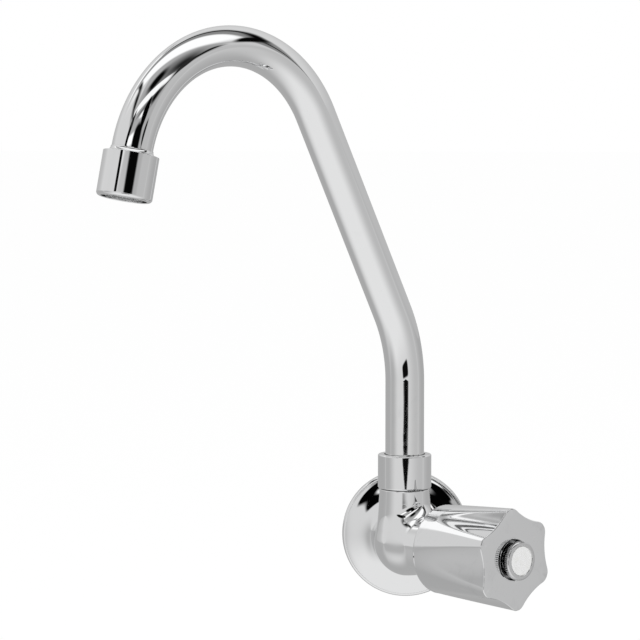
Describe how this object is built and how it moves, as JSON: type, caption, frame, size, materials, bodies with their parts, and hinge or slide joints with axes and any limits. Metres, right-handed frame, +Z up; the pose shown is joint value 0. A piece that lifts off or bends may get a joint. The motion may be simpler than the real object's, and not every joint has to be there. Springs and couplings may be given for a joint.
{
  "type": "wall faucet",
  "caption": "Chrome wall-mounted faucet with a swivelling gooseneck spout, an outlet cup with aerator, and a lobed handle on a compression valve set at an angle to the wall.",
  "frame": {"origin": "on the wall face, at the centre of the inlet", "axes": "+X right along the wall, +Y into the wall along the inlet, +Z up along the spout's swivel axis"},
  "size_m": [0.2079, 0.1888, 0.2855],
  "materials": {
    "chrome": "polished",
    "handle_chrome": "polished, slightly softer",
    "brass": "machined",
    "rubber": "matt",
    "fibre": "pressed fibre",
    "packing": "waxy",
    "acetal": "moulded",
    "stainless": "satin",
    "cap_plastic": "plated plastic",
    "disc_white": "smooth"
  },
  "bodies": {
    "body": {"valve_body": "chrome", "wall_flange": "chrome", "flange_seal_ring": "rubber", "cap_nut": "chrome", "spout_bearing_washer": "packing", "bonnet": "brass", "bonnet_gasket": "fibre", "packing_rings": "packing", "gland_follower": "brass", "gland_nut": "brass"},
    "spout": {"spout_tube": "chrome", "spout_spigot": "brass", "spout_split_ring": "brass", "spout_seal_rings": "rubber", "spout_cup": "chrome", "aerator_washer": "rubber", "aerator_screen": "stainless", "aerator_sleeve": "acetal", "aerator_diffuser": "acetal"},
    "jumper": {"jumper": "brass", "seat_washer": "rubber", "jumper_nut": "brass"},
    "handle": {"spindle": "brass", "handle_shell": "handle_chrome", "handle_screw": "stainless", "screw_washer": "stainless", "index_cap": "cap_plastic", "index_disc": "disc_white"}
  },
  "joints": [
    {"name": "spout_swivel", "type": "hinge", "parent": "body", "child": "spout", "pos_m": [0, -0.0365, 0], "axis": [0, 0, 1], "range_deg": [-50, 140]},
    {"name": "valve_lift", "type": "slide", "parent": "body", "child": "jumper", "axis": [0.7071, -0.7071, 0], "range_m": [0, 0.006]},
    {"name": "handle_turn", "type": "hinge", "parent": "jumper", "child": "handle", "pos_m": [0, -0.0365, 0], "axis": [0.7071, -0.7071, 0], "range_deg": [0, 720]}
  ],
  "couplings": [
    {"joint": "valve_lift", "follows": "handle_turn", "m_per_rad": 0.00047746}
  ]
}
